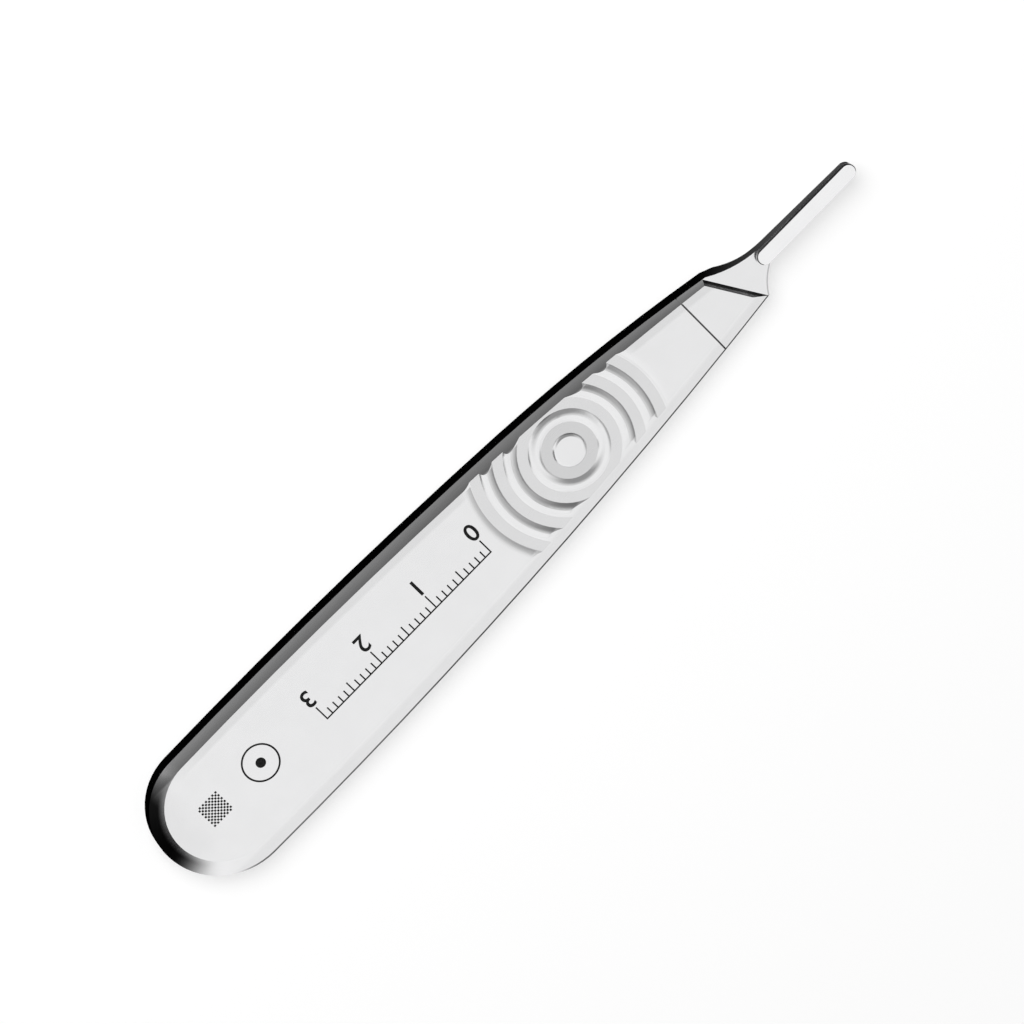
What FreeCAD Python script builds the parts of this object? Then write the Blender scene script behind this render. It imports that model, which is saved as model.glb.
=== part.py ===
import FreeCAD, Part
import math
import os

# Handle for small surgical blades: one flat steel body with a bevelled rim,
# a finger grip of concentric ripples on both faces, and a grooved tongue at
# the nose that takes the slot of the blade.
# Millimetres. X runs along the handle and the blade end is at +X. Z is up,
# the handle lies on its back face at Z = 0, and the origin is the middle of
# its length and width. Stations are distances from the butt end.

# Body
overall_length = 125.0
body_width = 19.0
body_thickness = 4.1
widest_station = 19.3
butt_offset = 0.55

# Taper towards the nose: the side on +Y turns in more sharply and ends sooner
taper_station = 68.0
upper_corner_station = 101.4
upper_corner_reach = 3.6
lower_corner_station = 105.7
lower_corner_reach = 4.35

# Bevel round both faces, wider on -Y and at the butt than on +Y
bevel_drop = 0.65
bevel_at_butt = 2.05
bevel_at_upper_side = 1.42
bevel_at_upper_corner = 0.62
bevel_at_lower_side = 2.3
bevel_at_lower_corner = 1.8

# Shoulder, neck and tongue, whose underside rises towards the tip
upper_shoulder_setback = 0.4
lower_shoulder_setback = 0.1
shoulder_rake = 45.0
upper_neck_end = 110.0
lower_neck_start_slant = 60.0
lower_neck_end_slant = 31.0
lower_neck_end_radius = 2.2
tongue_width = 2.2
tongue_underside = 1.65
tip_underside = 2.75
underside_cut_radius = 8.0
underside_cut_station = 108.0

# Head on the tongue, with the groove that the edges of the blade slide in
head_station = 107.6
slot_height = 0.5
slot_depth = 0.35
head_height = 0.35
head_edge = 0.12

# Line engraved across the front face
engraved_station = 96.8
engraved_width = 0.2
engraved_depth = 0.1

# Ripples
ripple_station = 73.4
ripple_offset = 0.5
crest_height = 0.12
back_crest_recess = 0.02
land_depth = 0.16
button_radius = 1.6
button_foot_radius = 2.3
first_ridge_start = 3.8
first_land_start = 5.55
ripple_pitch = 3.35
land_width = 1.45
land_count = 3
outer_blend_width = 1.2

# Room that cutting tools have past the surfaces they cut
tool_margin = 2.0

# Values that follow from the sizes above
half_width = body_width / 2
half_tongue = tongue_width / 2
platform_level = body_thickness - bevel_drop
blank_end_station = underside_cut_station + half_tongue

# Widths of each side's bevel, at its widest and at the nose corner. The taper
# takes over before the corner on +Y.
upper_bevel = (bevel_at_upper_side, bevel_at_upper_side)
lower_bevel = (bevel_at_lower_side, bevel_at_lower_corner)


def vector(x, y, z=0.0):
    return FreeCAD.Vector(x, y, z)


def circle_edge(start, middle, end):
    return Part.Arc(start, middle, end).toShape()


def line_edge(start, end):
    return Part.LineSegment(start, end).toShape()


def side_arc(inset, bevel):
    """Radius and centre height of the long curve that each side follows.

    inset is the share of the bevel's width by which the curve lies inside
    the rim: 0 is the rim and 1 is the edge of the face.
    """
    widest = half_width - inset * bevel[0]
    fall = widest - (lower_corner_reach - inset * bevel[1])
    run = lower_corner_station - widest_station
    radius = (run ** 2 + fall ** 2) / (2 * fall)
    return radius, widest - radius


def side_height(station, inset, bevel):
    radius, centre = side_arc(inset, bevel)
    return centre + math.sqrt(radius ** 2 - (station - widest_station) ** 2)


def taper_arc(inset):
    """Radius and centre of the sharper curve on +Y, tangent to the side's."""
    side_radius, side_centre = side_arc(inset, upper_bevel)
    start = vector(taper_station, side_height(taper_station, inset, upper_bevel))
    outward = (start - vector(widest_station, side_centre)) / side_radius
    corner = vector(upper_corner_station, upper_corner_reach - inset * bevel_at_upper_corner)
    chord = corner - start
    radius = chord.dot(chord) / (-2 * chord.dot(outward))
    return radius, start - outward * radius


def taper_point(station, inset):
    radius, centre = taper_arc(inset)
    return vector(station, centre.y + math.sqrt(radius ** 2 - (station - centre.x) ** 2))


def butt_arc(inset, bevel, offset):
    """Half of the round butt end, from its middle to the side on +Y.

    offset is how far the middle lies from the axis. Returns the middle of the
    butt, a point halfway round and the point where the curve meets the side.
    """
    side_radius, side_centre = side_arc(inset, bevel)
    start = inset * bevel_at_butt
    back = start - widest_station
    rise = offset - side_centre
    radius = (side_radius ** 2 - back ** 2 - rise ** 2) / (2 * (back + side_radius))
    centre = vector(start + radius, offset)
    outward = (centre - vector(widest_station, side_centre)) / (side_radius - radius)
    halfway = outward + vector(-1, 0)
    halfway.normalize()
    return vector(start, offset), centre + halfway * radius, centre + outward * radius


def mirrored(point):
    return vector(point.x, -point.y, point.z)


def side_edge(start_station, end_point, inset, bevel):
    """Points on a side's long curve, from a station back to the butt's curve."""
    start = vector(start_station, side_height(start_station, inset, bevel))
    middle_station = (start_station + end_point.x) / 2
    middle = vector(middle_station, side_height(middle_station, inset, bevel))
    return start, middle, end_point


def taper_edge(start_station, inset):
    """Points on +Y's sharper curve, from a station back to the taper's start."""
    middle_station = (start_station + taper_station) / 2
    stations = [start_station, middle_station, taper_station]
    return [taper_point(station, inset) for station in stations]


def rim_edges(upper_station, lower_station, inset):
    """Rim from a station on +Y round the butt to a station on -Y."""
    upper_butt = butt_arc(inset, upper_bevel, butt_offset)
    lower_butt = butt_arc(inset, lower_bevel, -butt_offset)
    upper_side = side_edge(taper_station, upper_butt[2], inset, upper_bevel)
    lower_side = side_edge(lower_station, lower_butt[2], inset, lower_bevel)
    return [
        circle_edge(*taper_edge(upper_station, inset)),
        circle_edge(*upper_side),
        circle_edge(*reversed(upper_butt)),
        circle_edge(*[mirrored(point) for point in lower_butt]),
        circle_edge(*reversed([mirrored(point) for point in lower_side])),
    ]


def blank_wire(inset, level):
    """Outline of the body alone, closed by a straight line past the nose."""
    upper_end = taper_point(blank_end_station, inset)
    lower_height = side_height(blank_end_station, inset, lower_bevel)
    lower_end = vector(blank_end_station, -lower_height)
    edges = rim_edges(blank_end_station, blank_end_station, inset)
    wire = Part.Wire(edges + [line_edge(lower_end, upper_end)])
    wire.translate(vector(0, 0, level))
    return wire


def bevelled_blank():
    """Body whose bevels run on past both faces by the height of a crest."""
    crest_inset = (bevel_drop + crest_height) / bevel_drop
    sections = [
        blank_wire(crest_inset, -crest_height),
        blank_wire(0.0, bevel_drop),
        blank_wire(0.0, body_thickness - bevel_drop),
        blank_wire(crest_inset, body_thickness + crest_height),
    ]
    return Part.makeLoft(sections, True, True)


def upper_neck():
    """Hollow curve from the nose corner on +Y, tangent to the tongue."""
    corner = vector(upper_corner_station, upper_corner_reach)
    run = upper_neck_end - corner.x
    fall = corner.y - half_tongue
    radius = (run ** 2 + fall ** 2) / (2 * fall)
    centre = vector(upper_neck_end, half_tongue + radius)
    turn = math.asin(run / radius) / 2
    middle = centre + vector(-radius * math.sin(turn), -radius * math.cos(turn))
    return corner, middle, vector(upper_neck_end, half_tongue)


def lower_neck():
    """Hollow curve from the nose corner on -Y, then a tighter one to the tongue."""
    corner = vector(lower_corner_station, -lower_corner_reach)
    start_slant = math.radians(lower_neck_start_slant)
    end_slant = math.radians(lower_neck_end_slant)
    radius = lower_neck_end_radius
    chord_slant = (start_slant + end_slant) / 2
    rise = -corner.y - half_tongue - radius * (1 - math.cos(end_slant))
    long_end = corner + vector(rise / math.tan(chord_slant), rise)
    bow = (long_end - corner).Length / 2 * math.tan((start_slant - end_slant) / 4)
    across = vector(-math.sin(chord_slant), math.cos(chord_slant))
    long_middle = (corner + long_end) / 2 + across * bow
    tight_end = vector(long_end.x + radius * math.sin(end_slant), -half_tongue)
    centre = tight_end - vector(0, radius)
    turn = end_slant / 2
    tight_middle = centre + vector(-radius * math.sin(turn), radius * math.cos(turn))
    return corner, long_middle, long_end, tight_middle, tight_end


def plan_prism():
    """Full outline seen from above, as tall as the bevelled blank."""
    upper_corner, upper_middle, upper_end = upper_neck()
    lower_corner, long_middle, long_end, tight_middle, tight_end = lower_neck()
    tip_upper = vector(overall_length - half_tongue, half_tongue)
    edges = rim_edges(upper_corner.x, lower_corner.x, 0.0)
    edges += [
        circle_edge(lower_corner, long_middle, long_end),
        circle_edge(long_end, tight_middle, tight_end),
        line_edge(tight_end, mirrored(tip_upper)),
        circle_edge(mirrored(tip_upper), vector(overall_length, 0), tip_upper),
        line_edge(tip_upper, upper_end),
        circle_edge(upper_end, upper_middle, upper_corner),
    ]
    face = Part.Face(Part.Wire(edges))
    face.translate(vector(0, 0, -crest_height))
    return face.extrude(vector(0, 0, body_thickness + 2 * crest_height))


def tongue_bar():
    """Bar that the outline trims to the neck and tongue."""
    length = overall_length - upper_corner_station
    depth = platform_level - tongue_underside
    corner = vector(upper_corner_station, -half_width, tongue_underside)
    return Part.makeBox(length, body_width, depth, corner)


def shoulder_cutter():
    """Clears the platform beyond the slanted and raked shoulder."""
    upper_end = vector(upper_corner_station - upper_shoulder_setback, upper_corner_reach)
    lower_end = vector(lower_corner_station - lower_shoulder_setback, -lower_corner_reach)
    slant = math.degrees(math.atan2(lower_end.x - upper_end.x, upper_end.y - lower_end.y))
    height = body_thickness - platform_level + tool_margin
    lean = height * math.tan(math.radians(shoulder_rake))
    profile = Part.makePolygon([
        vector(0, 0, 0),
        vector(overall_length, 0, 0),
        vector(overall_length, 0, height),
        vector(-lean, 0, height),
        vector(0, 0, 0),
    ])
    cutter = Part.Face(profile).extrude(vector(0, 2 * body_width, 0))
    cutter.translate(vector(0, -body_width, 0))
    cutter.rotate(vector(0, 0, 0), vector(0, 0, 1), slant)
    cutter.translate(upper_end + vector(0, 0, platform_level))
    return cutter


def underside_cutter():
    """Thins the neck from the back with a round sweep, and tapers the tongue."""
    width = body_width + 2 * tool_margin
    floor_level = tongue_underside - underside_cut_radius
    centre = vector(underside_cut_station, -width / 2, floor_level)
    sweep = Part.makeCylinder(underside_cut_radius, width, centre, vector(0, 1, 0))
    profile = Part.makePolygon([
        centre,
        vector(overall_length, -width / 2, floor_level),
        vector(overall_length, -width / 2, tip_underside),
        vector(underside_cut_station, -width / 2, tongue_underside),
        centre,
    ])
    return sweep.fuse(Part.Face(profile).extrude(vector(0, width, 0)))


def stadium(inset, level, height):
    """Round-ended bar of the head's outline, smaller by the inset."""
    radius = half_tongue - inset
    back = head_station + half_tongue
    front = overall_length - half_tongue
    edges = [
        line_edge(vector(back, -radius), vector(front, -radius)),
        circle_edge(vector(front, -radius), vector(front + radius, 0), vector(front, radius)),
        line_edge(vector(front, radius), vector(back, radius)),
        circle_edge(vector(back, radius), vector(back - radius, 0), vector(back, -radius)),
    ]
    face = Part.Face(Part.Wire(edges))
    face.translate(vector(0, 0, level))
    return face.extrude(vector(0, 0, height))


def tongue_head():
    """Raised head whose lips overhang the groove for the blade."""
    head_level = platform_level + slot_height
    web = stadium(slot_depth, platform_level, slot_height)
    head = stadium(0.0, head_level, head_height)
    top = head_level + head_height
    rim = [edge for edge in head.Edges if min(v.Z for v in edge.Vertexes) > top - head_edge]
    return web.fuse(head.makeChamfer(head_edge, rim))


def ridge_edge(inner, outer, foot, crest):
    """Rounded ridge between two radii, in the plane of the ripples' section."""
    middle = (inner + outer) / 2
    return circle_edge(vector(inner, 0, foot), vector(middle, 0, crest), vector(outer, 0, foot))


def land_edge(inner, outer, level):
    return line_edge(vector(inner, 0, level), vector(outer, 0, level))


def button_edges(crest, land):
    """Flat button in the middle, with a rounded fall to the first ring."""
    fall = button_foot_radius - button_radius
    turn = math.pi / 4
    start = vector(button_radius, 0, crest)
    middle = vector(button_radius + fall * math.sin(turn), 0, land + (crest - land) * math.cos(turn))
    end = vector(button_foot_radius, 0, land)
    return [land_edge(0, button_radius, crest), circle_edge(start, middle, end)]


def outer_blend_edge(start, land):
    """Curve that rises from the last land and runs level into the face."""
    radius = (outer_blend_width ** 2 + land ** 2) / (-2 * land)
    turn = math.asin(outer_blend_width / radius) / 2
    end = start + outer_blend_width
    middle = vector(end - radius * math.sin(turn), 0, -radius * (1 - math.cos(turn)))
    return circle_edge(vector(start, 0, land), middle, vector(end, 0, 0))


def ripple_section(crest):
    """Section of the ripples from the middle outward, with the face at 0."""
    land = crest - crest_height - land_depth
    edges = button_edges(crest, land)
    edges.append(land_edge(button_foot_radius, first_ridge_start, land))
    edges.append(ridge_edge(first_ridge_start, first_land_start, land, crest))
    for number in range(land_count):
        land_start = first_land_start + number * ripple_pitch
        land_end = land_start + land_width
        edges.append(land_edge(land_start, land_end, land))
        if number < land_count - 1:
            edges.append(ridge_edge(land_end, land_start + ripple_pitch, land, crest))
    edges.append(outer_blend_edge(land_end, land))
    return edges


def ripple_cutter(crest):
    """Everything above a rippled face, turned about the ripples' middle."""
    edges = ripple_section(crest)
    ripple_radius = first_land_start + (land_count - 1) * ripple_pitch + land_width + outer_blend_width
    reach = overall_length
    ceiling = crest + tool_margin
    edges += [
        land_edge(ripple_radius, reach, 0),
        line_edge(vector(reach, 0, 0), vector(reach, 0, ceiling)),
        line_edge(vector(reach, 0, ceiling), vector(0, 0, ceiling)),
        line_edge(vector(0, 0, ceiling), vector(0, 0, crest)),
    ]
    section = Part.Face(Part.Wire(edges))
    return section.revolve(vector(0, 0, 0), vector(0, 0, 1), 360)


def front_ripple_cutter():
    cutter = ripple_cutter(crest_height)
    cutter.translate(vector(ripple_station, ripple_offset, body_thickness))
    return cutter


def back_ripple_cutter():
    """The back's crests stop just short of its face, so that it rests flat."""
    cutter = ripple_cutter(-back_crest_recess)
    cutter.rotate(vector(0, 0, 0), vector(1, 0, 0), 180)
    cutter.translate(vector(ripple_station, ripple_offset, 0))
    return cutter


def engraved_cutter(body):
    """Line of even depth that follows the face and both bevels."""
    skin = body.cut(body.translated(vector(0, 0, -engraved_depth)))
    corner = vector(engraved_station - engraved_width / 2, -half_width, platform_level)
    slice_height = body_thickness + tool_margin - platform_level
    return skin.common(Part.makeBox(engraved_width, body_width, slice_height, corner))


def scalpel_handle():
    body = bevelled_blank().fuse(tongue_bar()).common(plan_prism())
    body = body.cut(shoulder_cutter())
    body = body.cut(underside_cutter())
    body = body.cut(engraved_cutter(body))
    body = body.cut(front_ripple_cutter())
    body = body.cut(back_ripple_cutter())
    body = body.fuse(tongue_head()).removeSplitter()
    body.translate(vector(-overall_length / 2, 0, 0))
    return body


os.makedirs("parts", exist_ok=True)
handle = scalpel_handle()
handle.exportStep("parts/scalpel_handle.step")
print("solids", len(handle.Solids), "valid", handle.isValid(), "volume", round(handle.Volume, 1))
print("box", handle.BoundBox)
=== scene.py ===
import math

import bmesh
import bpy
from mathutils import Matrix, Vector


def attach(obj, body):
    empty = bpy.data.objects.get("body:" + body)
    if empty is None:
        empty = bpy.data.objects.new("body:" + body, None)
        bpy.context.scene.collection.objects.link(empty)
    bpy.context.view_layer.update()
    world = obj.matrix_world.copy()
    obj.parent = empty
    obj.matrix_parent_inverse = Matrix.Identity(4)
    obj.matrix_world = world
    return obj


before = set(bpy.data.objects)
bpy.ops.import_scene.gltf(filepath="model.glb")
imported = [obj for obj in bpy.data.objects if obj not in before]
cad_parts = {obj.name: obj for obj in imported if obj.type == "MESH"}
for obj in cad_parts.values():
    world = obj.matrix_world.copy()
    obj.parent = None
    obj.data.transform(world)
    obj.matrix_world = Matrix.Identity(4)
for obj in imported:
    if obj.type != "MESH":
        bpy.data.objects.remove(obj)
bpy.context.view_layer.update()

MM = 0.001
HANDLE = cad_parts["scalpel_handle"]

# The photograph's view, with angles in degrees. The aim is a point on the handle, in millimetres.
VIEW_ELEVATION = 69.5
HANDLE_ANGLE = 45.57
AIM = (0.05, 0.0, 3.4)
LENS = 240.0
SENSOR = 36.0
PIXELS = 1024
PIXELS_PER_MM = 7.782

# Sizes of the handle, in millimetres, as the solid has them
HALF_LENGTH = 62.5
HALF_WIDTH = 9.5
THICKNESS = 4.1
RIM = 3.45
WIDEST = 19.3 - HALF_LENGTH
TAPER = 68.0 - HALF_LENGTH
UPPER_CORNER = (101.4 - HALF_LENGTH, 3.6)
LOWER_CORNER = (105.7 - HALF_LENGTH, 4.35)
UPPER_BEVEL = (1.42, 1.42)
LOWER_BEVEL = (2.3, 1.8)
CORNER_BEVEL = 0.62
LAND_DEPTH = 0.16
RIPPLE_CENTRE = (73.4 - HALF_LENGTH, 0.5)
RIPPLE_REACH = 14.9
GROOVE_REACH = 3.8
FIRST_RIDGE_REACH = 5.55
ENGRAVED = 96.8 - HALF_LENGTH
SHOULDER_FOOT = 101.0 - HALF_LENGTH
NECK_CENTRE = (112.82 - HALF_LENGTH, -8.46)
NECK_RADIUS = 8.22
HEAD_START = 107.6 - HALF_LENGTH
HEAD_TOP = 4.3

# How light the plain steel is, and the share of that which its parts have: painted shade where a
# share is under 1, and painted light where it is over 1
STEEL_TONE = 0.84
LAND_SHADE = 0.91
GROOVE_SHADE = 0.895
FLANK_SHADE = 0.55
FACE_EDGE_SHADE = 0.9
LOWER_BEVEL_LIGHT = 1.06
FINE_LINE_SHADE = 0.08
SHOULDER_SHADE = 0.7
SHOULDER_FOOT_SHADE = 0.15
NECK_LINE_SHADE = 0.6
HEAD_EDGE_SHADE = 0.85
HEAD_LINE_SHADE = 0.1
BUTT_SHADE = 0.04
HEAD_TOP_LIGHT = 1.1
# Painted shade on the bevel on +Y: what it loses, at its foot and at the face
UPPER_BEVEL_SHADE = (0.27, 0.57)
# Roughness of the steel from streak to streak, and what the lands add to it
STEEL_ROUGHNESS = (0.17, 0.23)
LAND_ROUGHNESS = 0.05
BLUE_SHARE = 1.006
STREAK_HEIGHT = 0.002

# Laser marks on the front face, with lengths in millimetres
MARK_LEVEL = THICKNESS + 0.008
MARK_ROW = 0.8
SQUARE_CENTRE = 8.65 - HALF_LENGTH
SQUARE_WIDTH = 3.45
SQUARE_CELLS = 12
RING_CENTRE = 17.0 - HALF_LENGTH
RING_RADIUS = 2.5
RING_LINE = 0.25
RING_STEPS = 96
DOT_RADIUS = 0.7
SCALE_START = 57.0 - HALF_LENGTH
SCALE_LENGTH = 30
SCALE_FOOT = MARK_ROW - 2.4
SCALE_LINE = 0.2
LONG_TICK = 2.3
MIDDLE_TICK = 1.7
SHORT_TICK = 1.2
NUMBER_ROW = MARK_ROW + 2.6
NUMBER_SIZE = 3.4
NUMBER_WEIGHT = 0.05
MARK_TONE = (0.006, 0.02)
MARK_ROUGHNESS = 0.7

# Floor and cards, with lengths in millimetres. To the camera the floor glows as well, and its
# glow grows over GLOW_RUN, which is counted from the handle's middle.
FLOOR_REACH = 3000
FLOOR_COLOUR = 0.38
GLOW_RUN = (120, 600)
NEAR_GLOW = 0.66
FAR_GLOW = 0.95
BUTT_FLAG_X = -76
BUTT_FLAG_TOP = 95
FLOOR_FLAG_HEIGHT = 0.05

# What reflections see of the white world: a grey spot towards +X and +Y, and shares of the
# level low down towards +X, far round to -Y, and near the horizon between +X and +Y
GREY_MIDDLE = (0.35, 0.42)
GREY_LEVEL = 0.33
LOW_SHARE = 0.45
FAR_SIDE_SHARE = 0.89
HORIZON_SHARE = 0.03
# How light the world is to matt surfaces
FILL_LEVEL = 0.25

# Lamp, in metres and watts
KEY_PLACE = (0.0, 0.45, 0.55)
KEY_SIZE = 0.5
KEY_ENERGY = 5.0


def node(tree, kind, **values):
    """New shader node with some of its settings filled in."""
    made = tree.nodes.new(kind)
    for name, value in values.items():
        setattr(made, name, value)
    return made


class Field:
    """A number that varies over a surface, built up from math nodes."""

    def __init__(self, tree, socket):
        self.tree = tree
        self.socket = socket

    def math(self, operation, *others):
        made = node(self.tree, "ShaderNodeMath", operation=operation)
        for place, value in zip(made.inputs, (self,) + others):
            if isinstance(value, Field):
                self.tree.links.new(value.socket, place)
            else:
                place.default_value = value
        return Field(self.tree, made.outputs[0])

    def __add__(self, other):
        return self.math("ADD", other)

    def __sub__(self, other):
        return self.math("SUBTRACT", other)

    def __mul__(self, other):
        return self.math("MULTIPLY", other)

    def __neg__(self):
        return self.math("MULTIPLY", -1.0)

    def between(self, low, high, at_low=0.0, at_high=1.0, smooth=True):
        """Runs from at_low to at_high as the field runs from low to high."""
        made = node(self.tree, "ShaderNodeMapRange", clamp=True)
        made.interpolation_type = "SMOOTHSTEP" if smooth else "LINEAR"
        limits = (("From Min", low), ("From Max", high), ("To Min", at_low), ("To Max", at_high))
        for name, value in limits:
            made.inputs[name].default_value = value
        self.tree.links.new(self.socket, made.inputs["Value"])
        return Field(self.tree, made.outputs["Result"])

    def into(self, place):
        self.tree.links.new(self.socket, place)


def fields(tree, vector_socket):
    """The three parts of a vector."""
    parts = node(tree, "ShaderNodeSeparateXYZ")
    tree.links.new(vector_socket, parts.inputs[0])
    return [Field(tree, parts.outputs[i]) for i in range(3)]


def side_arc(bevel):
    """Radius and centre height of the long curve along a side of the face.

    Both sides of the outline follow one curve, on +Y as far as the taper.
    """
    widest = HALF_WIDTH - bevel[0]
    fall = widest - (LOWER_CORNER[1] - bevel[1])
    run = LOWER_CORNER[0] - WIDEST
    radius = (run ** 2 + fall ** 2) / (2 * fall)
    return radius, widest - radius


def taper_arc():
    """Radius and centre of the sharper curve near the nose, on +Y."""
    side_radius, side_centre = side_arc(UPPER_BEVEL)
    rise = math.sqrt(side_radius ** 2 - (TAPER - WIDEST) ** 2)
    start = Vector((TAPER, side_centre + rise))
    outward = Vector((TAPER - WIDEST, rise)) / side_radius
    corner = Vector((UPPER_CORNER[0], UPPER_CORNER[1] - CORNER_BEVEL))
    chord = corner - start
    radius = chord.dot(chord) / (-2 * chord.dot(outward))
    return radius, start - outward * radius


def radius_from(x, y, centre):
    """Distance from an upright line through the centre."""
    across = x - centre[0]
    up = y - centre[1]
    return (across * across + up * up).math("SQRT")


def depth_at_upper_side(x, y):
    """How far a point lies inside the face's edge on +Y, negative on the bevel."""
    radius, centre = side_arc(UPPER_BEVEL)
    along_side = -(radius_from(x, y, (WIDEST, centre)) - radius)
    radius, centre = taper_arc()
    along_taper = -(radius_from(x, y, centre) - radius)
    past_taper = x.math("GREATER_THAN", TAPER)
    return along_side + (along_taper - along_side) * past_taper


def depth_at_lower_side(x, y):
    """How far a point lies inside the face's edge on -Y, negative on the bevel."""
    radius, centre = side_arc(LOWER_BEVEL)
    return -(radius_from(x, y, (WIDEST, -centre)) - radius)


def surface_fields(tree):
    """Place in millimetres, the same in three parts, and the direction the surface faces."""
    source = node(tree, "ShaderNodeTexCoord")
    scaled = node(tree, "ShaderNodeVectorMath", operation="SCALE")
    scaled.inputs["Scale"].default_value = 1 / MM
    tree.links.new(source.outputs["Object"], scaled.inputs[0])
    place = scaled.outputs[0]
    return place, fields(tree, place), fields(tree, source.outputs["Normal"])


def noise(tree, place, scale, stretch=(1, 1, 1), detail=2.0):
    """Noise from 0 to 1, with lumps about 1/scale millimetres across."""
    stretched = node(tree, "ShaderNodeVectorMath", operation="MULTIPLY")
    stretched.inputs[1].default_value = stretch
    tree.links.new(place, stretched.inputs[0])
    made = node(tree, "ShaderNodeTexNoise")
    made.inputs["Scale"].default_value = scale
    made.inputs["Detail"].default_value = detail
    tree.links.new(stretched.outputs[0], made.inputs["Vector"])
    return Field(tree, made.outputs[0])


def darkened(mask, share):
    """1 where the mask is 0, and the share where it is 1. A share over 1 lightens."""
    return mask.between(0, 1, 1.0, share, smooth=False)


def ripple_tone(x, y, z, nz):
    """Painted shade in the low lands on both faces, and deeper painted shade in the first ring round
    the button.
    """
    radius = radius_from(x, y, RIPPLE_CENTRE)
    from_middle = (z - THICKNESS / 2).math("ABSOLUTE")
    land = THICKNESS / 2 - LAND_DEPTH
    pressed = from_middle.between(land + 0.1, land + 0.02)
    pressed = pressed * nz.math("ABSOLUTE").between(0.97, 0.985)
    pressed = pressed * radius.between(RIPPLE_REACH - 0.5, RIPPLE_REACH - 0.9)
    groove = pressed * radius.between(GROOVE_REACH + 0.1, GROOVE_REACH - 0.1)
    return darkened(pressed, LAND_SHADE) * darkened(groove, GROOVE_SHADE), pressed


def flank_tone(x, y, z, nx):
    """Painted shade on the flanks, facing the tongue, of the ridges outside the first one."""
    radius = radius_from(x, y, RIPPLE_CENTRE)
    ridges = radius.between(FIRST_RIDGE_REACH - 0.05, FIRST_RIDGE_REACH + 0.05)
    ridges = ridges * radius.between(RIPPLE_REACH, RIPPLE_REACH - 0.7)
    ridges = ridges * (z - THICKNESS).between(0.005 - LAND_DEPTH, 0.03 - LAND_DEPTH)
    ridges = ridges * depth_at_upper_side(x, y).between(0.1, 0.3)
    ridges = ridges * depth_at_lower_side(x, y).between(0.1, 0.4)
    return darkened(ridges * nx.between(-0.1, 0.3), FLANK_SHADE)


def edge_tone(x, y, z, ny, nz):
    """Painted shade in a soft band along the front face's edge on +Y and over the bevel on +Y, and
    painted light on the bevel on -Y.
    """
    depth = depth_at_upper_side(x, y)
    face = nz.between(0.985, 0.995) * (z - THICKNESS).math("ABSOLUTE").between(0.02, 0.01)
    face = face * x.between(-56, -48)
    radius = radius_from(x, y, RIPPLE_CENTRE)
    face = face * radius.between(RIPPLE_REACH - 0.9, RIPPLE_REACH + 1.1)
    upper_edge = face * depth.between(0.75, 1.3, 1.0, 0.0)
    upper_bevel = ny.between(0.2, 0.34) * z.between(RIM, RIM + 0.01) * depth.between(0.3, 0.0)
    shade = upper_bevel * z.between(RIM, THICKNESS, *UPPER_BEVEL_SHADE, smooth=False)
    lower_bevel = (-ny).between(0.15, 0.25) * z.between(RIM, RIM + 0.01)
    lower_bevel = lower_bevel * depth_at_lower_side(x, y).between(-0.85, -0.05)
    tone = darkened(upper_edge, FACE_EDGE_SHADE) * (shade * -1.0 + 1.0)
    return tone * darkened(lower_bevel, LOWER_BEVEL_LIGHT)


def line_tone(x, y, z, nx, ny, nz):
    """Painted shade in dark fine lines: the far rim, the engraved line, the shoulder and its foot,
    the neck and the head's edge.
    """
    rim = (-ny).between(0.24, 0.28)
    rim = rim * z.between(RIM + 0.075, RIM + 0.055) * z.between(RIM - 0.02, RIM)
    engraved = (x - ENGRAVED).math("ABSOLUTE").between(0.125, 0.1)
    engraved = engraved * nz.between(0.5, 0.6) * ny.between(0.3, 0.5, 1.0, 0.15)
    shoulder = nx.between(0.45, 0.55) * x.between(SHOULDER_FOOT - 2.0, SHOULDER_FOOT - 1.9)
    foot = shoulder * z.between(THICKNESS - 0.25, THICKNESS - 0.35)
    on_head = x.between(HEAD_START - 0.1, HEAD_START - 0.05)
    on_head = on_head * z.between(HEAD_TOP - 0.14, HEAD_TOP - 0.12)
    edge = on_head * nz.between(0.9, 0.8)
    from_neck = radius_from(x, y, NECK_CENTRE) - NECK_RADIUS
    neck = from_neck.between(0.2, 0.14) * nz.between(0.9, 0.95)
    neck = neck * x.between(LOWER_CORNER[0] - 0.3, LOWER_CORNER[0])
    neck = neck * z.between(RIM + 0.02, RIM + 0.01) * y.between(-0.9, -1.0)
    tone = darkened(rim, FINE_LINE_SHADE) * darkened(engraved, FINE_LINE_SHADE)
    tone = tone * darkened(shoulder, SHOULDER_SHADE) * darkened(foot, SHOULDER_FOOT_SHADE)
    tone = tone * darkened(neck, NECK_LINE_SHADE) * darkened(edge, HEAD_EDGE_SHADE)
    return tone * darkened(edge * ny.between(-0.5, -0.3), HEAD_LINE_SHADE)


def end_tone(x, y, z):
    """Painted shade on the outer bevel at the butt, and painted light on the top of the head."""
    butt = x.between(-55, -59) * y.between(-5, 0) * z.between(RIM + 0.7, RIM + 0.35)
    head = z.between(HEAD_TOP - 0.02, HEAD_TOP - 0.01, 1.0, HEAD_TOP_LIGHT)
    return darkened(butt, BUTT_SHADE) * head


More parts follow.
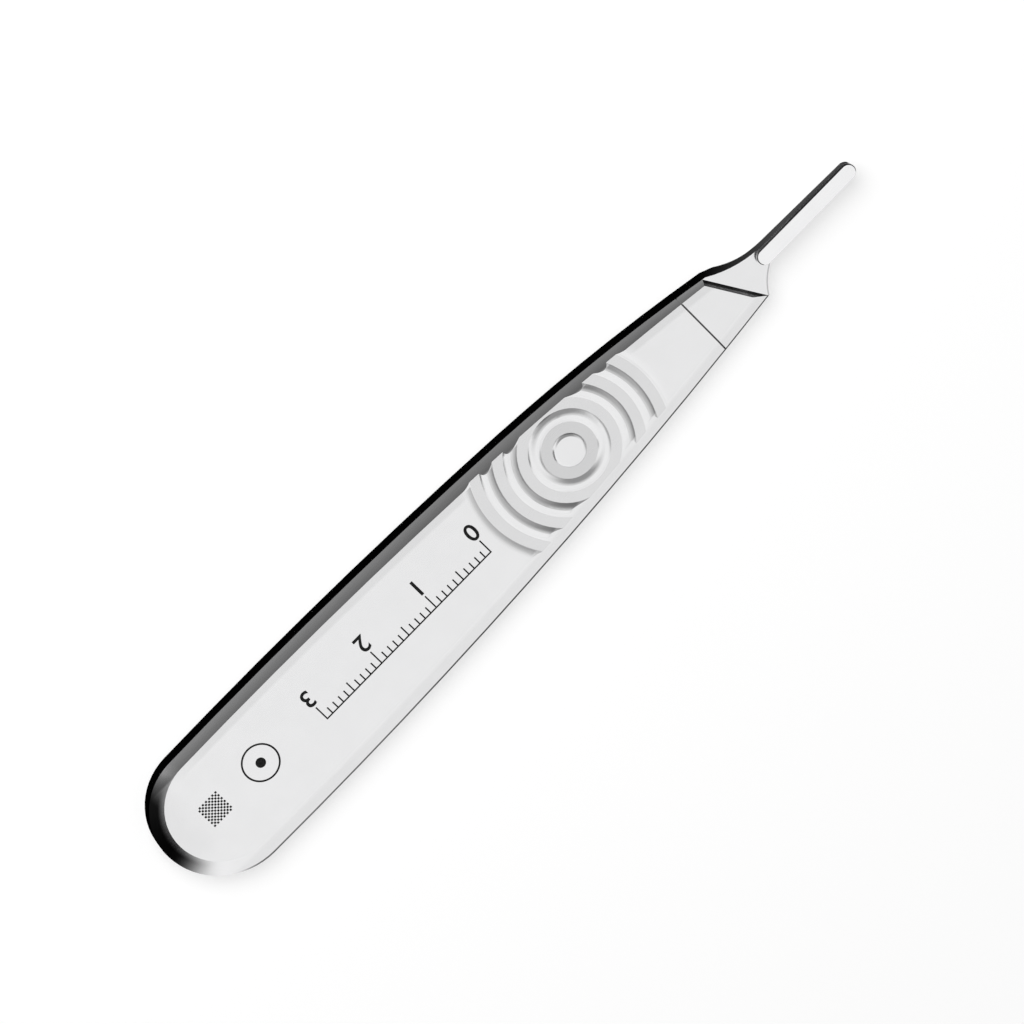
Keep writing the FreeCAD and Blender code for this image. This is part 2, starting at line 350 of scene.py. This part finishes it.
def steel_material():
    """Satin-polished steel, rougher in the ripples' lands, with painted shade there, on the flanks,
    bevels and butt and in dark fine lines, and painted light on the bevel on -Y and the top of the
    head.
    """
    material = bpy.data.materials.new("polished_steel")
    material.use_nodes = True
    tree = material.node_tree
    shader = tree.nodes["Principled BSDF"]
    place, (x, y, z), (nx, ny, nz) = surface_fields(tree)
    tone, pressed = ripple_tone(x, y, z, nz)
    tone = tone * flank_tone(x, y, z, nx) * edge_tone(x, y, z, ny, nz)
    tone = tone * line_tone(x, y, z, nx, ny, nz) * end_tone(x, y, z)

    streaks = noise(tree, place, 9.0, stretch=(0.03, 1, 1), detail=3.0)
    clouds = noise(tree, place, 0.35, detail=2.0)
    tone = tone * streaks.between(0.2, 0.8, 0.985, 1.015) * clouds.between(0.25, 0.75, 0.99, 1.01)
    level = tone * STEEL_TONE
    colour = node(tree, "ShaderNodeCombineColor")
    for channel, share in (("Red", 1.0), ("Green", 1.0), ("Blue", BLUE_SHARE)):
        (level * share).into(colour.inputs[channel])
    tree.links.new(colour.outputs[0], shader.inputs["Base Color"])

    rough = streaks.between(0.2, 0.8, *STEEL_ROUGHNESS) + pressed * LAND_ROUGHNESS
    rough.into(shader.inputs["Roughness"])
    shader.inputs["Metallic"].default_value = 1.0

    relief = node(tree, "ShaderNodeBump")
    relief.inputs["Strength"].default_value = 0.1
    relief.inputs["Distance"].default_value = STREAK_HEIGHT * MM
    streaks.into(relief.inputs["Height"])
    tree.links.new(relief.outputs[0], shader.inputs["Normal"])
    return material


def mark_material():
    """Steel darkened by a laser: matt, and a little uneven."""
    material = bpy.data.materials.new("laser_mark")
    material.use_nodes = True
    tree = material.node_tree
    shader = tree.nodes["Principled BSDF"]
    place, _, _ = surface_fields(tree)
    level = noise(tree, place, 6.0).between(0.3, 0.7, *MARK_TONE)
    colour = node(tree, "ShaderNodeCombineColor")
    for channel in ("Red", "Green", "Blue"):
        level.into(colour.inputs[channel])
    tree.links.new(colour.outputs[0], shader.inputs["Base Color"])
    shader.inputs["Roughness"].default_value = MARK_ROUGHNESS
    shader.inputs["Specular IOR Level"].default_value = 0.1
    return material


def floor_material():
    """Pale floor that runs out to the white of the background."""
    material = bpy.data.materials.new("pale_floor")
    material.use_nodes = True
    tree = material.node_tree
    shader = tree.nodes["Principled BSDF"]
    shader.inputs["Base Color"].default_value = (FLOOR_COLOUR, FLOOR_COLOUR, FLOOR_COLOUR, 1)
    shader.inputs["Roughness"].default_value = 0.9
    shader.inputs["Specular IOR Level"].default_value = 0.0
    _, (x, y, _), _ = surface_fields(tree)
    glow = radius_from(x, y, (0, 0)).between(*GLOW_RUN, NEAR_GLOW, FAR_GLOW)
    (seen_directly(tree) * glow).into(shader.inputs["Emission Strength"])
    shader.inputs["Emission Color"].default_value = (1, 1, 1, 1)
    return material


def ray(tree, kind):
    """1 for light rays of one kind, and 0 for the others."""
    path = node(tree, "ShaderNodeLightPath")
    return Field(tree, path.outputs[kind])


def seen_directly(tree):
    """1 for what the camera sees, also in metal and through glass."""
    straight = ray(tree, "Is Camera Ray").math("MAXIMUM", ray(tree, "Is Glossy Ray"))
    return straight.math("MAXIMUM", ray(tree, "Is Transmission Ray"))


def stage_plane(name, corners, material):
    """Flat sheet of the studio, from its corners in millimetres."""
    mesh = bpy.data.meshes.new(name)
    mesh.from_pydata([[c * MM for c in corner] for corner in corners], [], [range(len(corners))])
    plane = bpy.data.objects.new(name, mesh)
    bpy.context.scene.collection.objects.link(plane)
    mesh.materials.append(material)
    return plane


def make_floor():
    """Square floor, as far as FLOOR_REACH each way."""
    corners = [(-1, -1, 0), (1, -1, 0), (1, 1, 0), (-1, 1, 0)]
    corners = [[FLOOR_REACH * value for value in corner] for corner in corners]
    stage_plane("floor", corners, floor_material())


def flag_material(name, level_at):
    """Glow whose level at each place is given by a function."""
    material = bpy.data.materials.new(name)
    material.use_nodes = True
    tree = material.node_tree
    tree.nodes.remove(tree.nodes["Principled BSDF"])
    glow = node(tree, "ShaderNodeEmission")
    _, place, _ = surface_fields(tree)
    level_at(*place).into(glow.inputs["Strength"])
    tree.links.new(glow.outputs[0], tree.nodes["Material Output"].inputs["Surface"])
    return material


def make_flag(name, corners, level_at):
    """Card that only the metal's reflections show."""
    card = stage_plane(name, corners, flag_material(name, level_at))
    card.visible_camera = False
    card.visible_diffuse = False
    card.visible_shadow = False
    card.visible_transmission = False


def butt_flag_level(_, y, z):
    """Black in front of the butt, grey towards +Y, white towards -Y and above."""
    level = y.between(-34, -6, 1.0, 0.0) + y.between(-9, 20, 0.01, 0.24)
    above = z - y.between(-5, 15, 0, 45)
    return level.math("MAXIMUM", above.between(34, 46))


def floor_flag_level(x, *_):
    """Black beside the body, dark grey beside the neck and tongue."""
    return x.between(38, 52, 0.0, 0.07)


def make_flags():
    """One card upright beyond the butt, and one flat on the floor on +Y."""
    upright = [(-40, 0), (60, 0), (60, BUTT_FLAG_TOP), (-40, BUTT_FLAG_TOP)]
    make_flag("butt_flag", [(BUTT_FLAG_X, y, z) for y, z in upright], butt_flag_level)
    flat = [(-90, 0), (90, 0), (90, 60), (-90, 60)]
    make_flag("floor_flag", [(x, y, FLOOR_FLAG_HEIGHT) for x, y in flat], floor_flag_level)


def make_world():
    """Studio that is white to the camera, and uneven to reflections."""
    world = bpy.data.worlds.new("studio")
    bpy.context.scene.world = world
    world.use_nodes = True
    tree = world.node_tree
    background = tree.nodes["Background"]
    background.inputs["Color"].default_value = (1, 1, 1, 1)
    place = node(tree, "ShaderNodeTexCoord")
    x, y, z = fields(tree, place.outputs["Generated"])
    level = radius_from(x, y, GREY_MIDDLE).between(0.36, 0.88, GREY_LEVEL, 1.0)
    level = level * darkened(x.between(0.35, 0.65) * z.between(0.68, 0.42), LOW_SHARE)
    level = level * (-y).between(0.55, 0.85, 1.0, FAR_SIDE_SHARE)
    near_horizon = (x + y).between(-0.1, 0.4) * z.between(0.28, 0.10)
    level = level * darkened(near_horizon, HORIZON_SHARE)
    plain = ray(tree, "Is Camera Ray").math("MAXIMUM", ray(tree, "Is Transmission Ray"))
    reflected = ray(tree, "Is Glossy Ray") * level
    fill = (seen_directly(tree) * -1.0 + 1.0) * FILL_LEVEL
    (plain + reflected + fill).into(background.inputs["Strength"])


def make_key_lamp():
    """Soft lamp from the side of the visible wall, for the shadow."""
    lamp = bpy.data.lights.new("key", "AREA")
    lamp.shape = "DISK"
    lamp.size = KEY_SIZE
    lamp.energy = KEY_ENERGY
    holder = bpy.data.objects.new("key", lamp)
    place = Vector(KEY_PLACE)
    holder.location = place
    holder.rotation_mode = "QUATERNION"
    holder.rotation_quaternion = place.to_track_quat("Z", "Y")
    holder.visible_glossy = False
    bpy.context.scene.collection.objects.link(holder)


def make_camera():
    """Looks down on the front face from +Y, with the handle running up to the right."""
    target = Vector(AIM) * MM
    elevation = math.radians(VIEW_ELEVATION)
    turn = math.radians(HANDLE_ANGLE)
    towards_camera = Vector((0, math.cos(elevation), math.sin(elevation)))
    along = Vector((1, 0, 0))
    across = towards_camera.cross(along)
    right = along * math.cos(turn) - across * math.sin(turn)
    up = along * math.sin(turn) + across * math.cos(turn)
    camera = bpy.data.cameras.new("camera")
    camera.lens = LENS
    camera.sensor_width = SENSOR
    holder = bpy.data.objects.new("camera", camera)
    bpy.context.scene.collection.objects.link(holder)
    distance = LENS / SENSOR * PIXELS / PIXELS_PER_MM * MM
    axes = Matrix((right, up, towards_camera)).transposed()
    holder.matrix_world = Matrix.Translation(target + towards_camera * distance) @ axes.to_4x4()
    bpy.context.scene.camera = holder


def flat_piece(name, polygons, material):
    """One flat piece on the front face, from closed outlines in millimetres."""
    built = bmesh.new()
    for polygon in polygons:
        built.faces.new([built.verts.new((px * MM, py * MM, MARK_LEVEL * MM)) for px, py in polygon])
    bmesh.ops.recalc_face_normals(built, faces=built.faces)
    for face in built.faces:
        if face.normal.z < 0:
            face.normal_flip()
    mesh = bpy.data.meshes.new(name)
    built.to_mesh(mesh)
    built.free()
    mark_piece(name, mesh, material)


def mark_piece(name, mesh, material):
    """Puts a mesh in the scene as a mark that belongs to the handle."""
    piece = bpy.data.objects.new(name, mesh)
    bpy.context.scene.collection.objects.link(piece)
    mesh.materials.clear()
    mesh.materials.append(material)
    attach(piece, "root")


def bar(left, right, bottom, top):
    """Outline of an upright rectangle."""
    return [(left, bottom), (right, bottom), (right, top), (left, top)]


def circle_point(centre, radius, turn):
    """Point on a circle in the row of marks."""
    return (centre + radius * math.cos(turn), MARK_ROW + radius * math.sin(turn))


def check_square():
    """Plain chequered square."""
    cell = SQUARE_WIDTH / SQUARE_CELLS
    left = SQUARE_CENTRE - SQUARE_WIDTH / 2
    bottom = MARK_ROW - SQUARE_WIDTH / 2
    polygons = []
    for column in range(SQUARE_CELLS):
        for row in range(column % 2, SQUARE_CELLS, 2):
            x = left + column * cell
            y = bottom + row * cell
            polygons.append(bar(x, x + cell, y, y + cell))
    return polygons


def ring_and_dot():
    """Thin ring with a dot in its middle."""
    turns = [2 * math.pi * i / RING_STEPS for i in range(RING_STEPS + 1)]
    inner_radius = RING_RADIUS - RING_LINE / 2
    outer_radius = RING_RADIUS + RING_LINE / 2
    polygons = []
    for start, end in zip(turns, turns[1:]):
        inner = [circle_point(RING_CENTRE, inner_radius, t) for t in (start, end)]
        outer = [circle_point(RING_CENTRE, outer_radius, t) for t in (end, start)]
        polygons.append(inner + outer)
    polygons.append([circle_point(RING_CENTRE, DOT_RADIUS, t) for t in turns[:-1]])
    return polygons


def tick_height(tick):
    """Longer lines at whole and half centimetres."""
    if tick % 10 == 0:
        return LONG_TICK
    if tick % 5 == 0:
        return MIDDLE_TICK
    return SHORT_TICK


def scale_lines():
    """Graduated scale in millimetres that runs towards the butt."""
    half_line = SCALE_LINE / 2
    base_top = SCALE_FOOT + SCALE_LINE
    butt_end = SCALE_START - SCALE_LENGTH
    polygons = [bar(butt_end - half_line, SCALE_START + half_line, SCALE_FOOT, base_top)]
    for tick in range(SCALE_LENGTH + 1):
        x = SCALE_START - tick
        top = SCALE_FOOT + tick_height(tick)
        polygons.append(bar(x - half_line, x + half_line, base_top, top))
    return polygons


def make_number(number, x, material):
    """Plain number that reads with the tongue to the left, like the scale."""
    words = bpy.data.curves.new("number", "FONT")
    words.body = str(number)
    words.size = NUMBER_SIZE * MM
    words.offset = NUMBER_WEIGHT * MM
    words.align_x = "CENTER"
    holder = bpy.data.objects.new("number", words)
    mesh = bpy.data.meshes.new_from_object(holder)
    place = Matrix.Translation(Vector((x, NUMBER_ROW, MARK_LEVEL)) * MM)
    mesh.transform(place @ Matrix.Rotation(math.pi, 4, "Z"))
    bpy.data.objects.remove(holder)
    mark_piece(f"scale_number_{number}", mesh, material)


def make_marks():
    """All the marks of the front face."""
    dark = mark_material()
    flat_piece("check_square", check_square(), dark)
    flat_piece("ring_mark", ring_and_dot(), dark)
    flat_piece("scale_lines", scale_lines(), dark)
    for number in range(SCALE_LENGTH // 10 + 1):
        make_number(number, SCALE_START - 10 * number, dark)


bpy.context.scene.view_settings.view_transform = "Standard"
steel = steel_material()
for slot in HANDLE.material_slots:
    slot.material = steel
make_marks()
make_floor()
make_flags()
make_world()
make_key_lamp()
make_camera()
